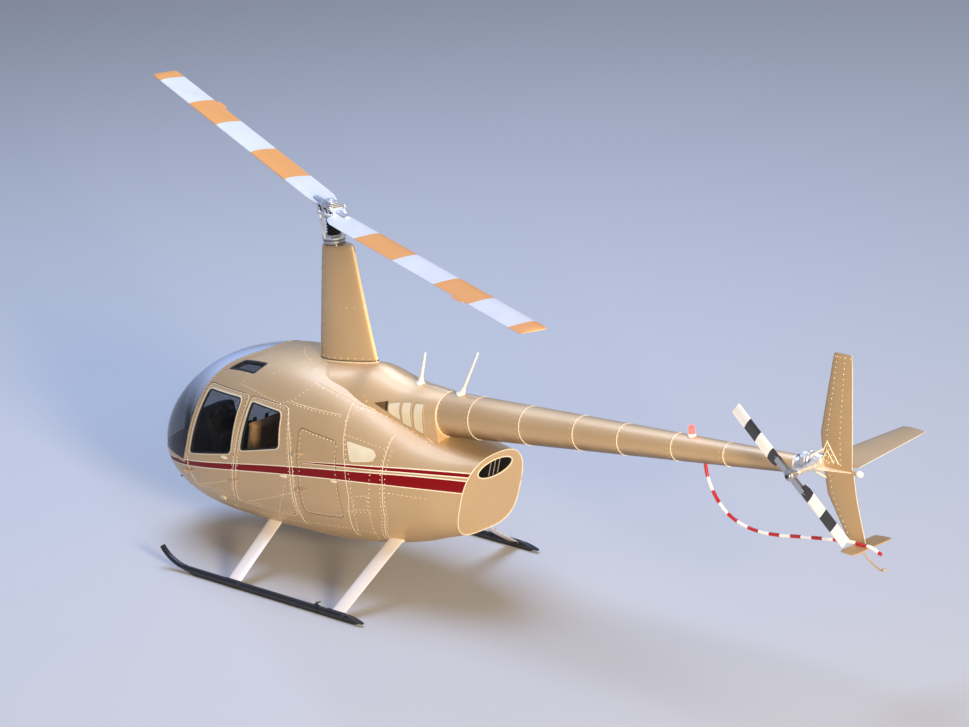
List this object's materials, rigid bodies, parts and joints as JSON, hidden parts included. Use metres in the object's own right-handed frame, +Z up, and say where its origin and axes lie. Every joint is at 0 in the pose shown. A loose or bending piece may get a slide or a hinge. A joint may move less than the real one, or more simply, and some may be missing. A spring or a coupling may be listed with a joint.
{
  "type": "helicopter",
  "caption": "Light enclosed-cabin helicopter on skids with a tall mast, a main rotor, a tail cone with a tail rotor, and cabin doors that open.",
  "frame": {"origin": "on the ground under the middle of the whole box", "axes": "+X towards the tail, +Y to the machine's right, +Z up"},
  "size_m": [11.2, 4.2806, 3.6854],
  "materials": {
    "body_paint": "metallic champagne gold with dark red and ivory stripes",
    "pale_paint": "gloss ivory",
    "skid_black": "satin",
    "bare_metal": "satin",
    "blade_paint": "satin white with coloured bands",
    "clear_glass": "clear, lightly tinted acrylic",
    "strobe_red": "clear red",
    "seat_leather": "tan",
    "interior_black": "matt"
  },
  "bodies": {
    "airframe": {"cabin_frame": "body_paint", "lower_hull": "body_paint", "windshield_post": "body_paint", "upper_cowl": "body_paint", "mast_fairing": "body_paint", "baggage_bay": "body_paint", "engine_cowl": "body_paint", "tail_cowl": "body_paint", "tail_cone": "body_paint", "upper_fin": "body_paint", "lower_fin": "body_paint", "stabilizer": "body_paint", "fin_end_plate": "body_paint", "front_gear_legs": "pale_paint", "rear_gear_legs": "pale_paint", "tail_rotor_guard": "pale_paint", "aerial_front": "pale_paint", "aerial_rear": "pale_paint", "cabin_bulkhead": "pale_paint", "skid_left": "skid_black", "skid_right": "skid_black", "engine": "bare_metal", "engine_deck": "bare_metal", "main_gearbox": "bare_metal", "exhaust_duct": "bare_metal", "tail_skid": "bare_metal", "tail_gearbox": "bare_metal", "swashplate_lower": "bare_metal", "skylight_left": "clear_glass", "skylight_right": "clear_glass", "windshield_left": "clear_glass", "windshield_right": "clear_glass", "tail_light": "clear_glass", "strobe_light": "strobe_red", "front_seat_left": "seat_leather", "front_seat_right": "seat_leather", "rear_seat": "seat_leather", "cabin_floor": "interior_black", "instrument_console": "interior_black", "cyclic_stick": "interior_black"},
    "main_rotor": {"rotor_mast": "bare_metal", "swashplate_upper": "bare_metal", "rotor_hub": "bare_metal", "main_blade_a": "blade_paint", "main_blade_b": "blade_paint"},
    "tail_rotor": {"tail_rotor_hub": "bare_metal", "tail_blade_a": "blade_paint", "tail_blade_b": "blade_paint"},
    "front_left_door": {"front_door_left": "body_paint", "front_window_left": "clear_glass"},
    "front_right_door": {"front_door_right": "body_paint", "front_window_right": "clear_glass"},
    "rear_left_door": {"rear_door_left": "body_paint", "rear_window_left": "clear_glass"},
    "rear_right_door": {"rear_door_right": "body_paint", "rear_window_right": "clear_glass"},
    "baggage_lid": {"baggage_door": "body_paint"}
  },
  "joints": [
    {"name": "main_rotor_turn", "type": "hinge", "parent": "airframe", "child": "main_rotor", "pos_m": [-0.94927, 0, 3.452], "axis": [0, 0, 1], "continuous": true},
    {"name": "tail_rotor_turn", "type": "hinge", "parent": "airframe", "child": "tail_rotor", "pos_m": [4.90673, -0.375, 2.166], "axis": [0, 1, 0], "continuous": true},
    {"name": "front_left_hinge", "type": "hinge", "parent": "airframe", "child": "front_left_door", "pos_m": [-2.60927, -0.662, 0.78], "axis": [-0.2487, 0, -0.9686], "range_deg": [0, 80]},
    {"name": "front_right_hinge", "type": "hinge", "parent": "airframe", "child": "front_right_door", "pos_m": [-2.60927, 0.662, 0.78], "axis": [0.2487, 0, 0.9686], "range_deg": [0, 80]},
    {"name": "rear_left_hinge", "type": "hinge", "parent": "airframe", "child": "rear_left_door", "pos_m": [-1.83727, -0.742, 0.86], "axis": [-0.2487, 0, -0.9686], "range_deg": [0, 80]},
    {"name": "rear_right_hinge", "type": "hinge", "parent": "airframe", "child": "rear_right_door", "pos_m": [-1.83727, 0.742, 0.86], "axis": [0.2487, 0, 0.9686], "range_deg": [0, 80]},
    {"name": "baggage_hinge", "type": "hinge", "parent": "airframe", "child": "baggage_lid", "pos_m": [-0.91527, -0.748, 0.95], "axis": [0, 0, -1], "range_deg": [0, 90]}
  ]
}
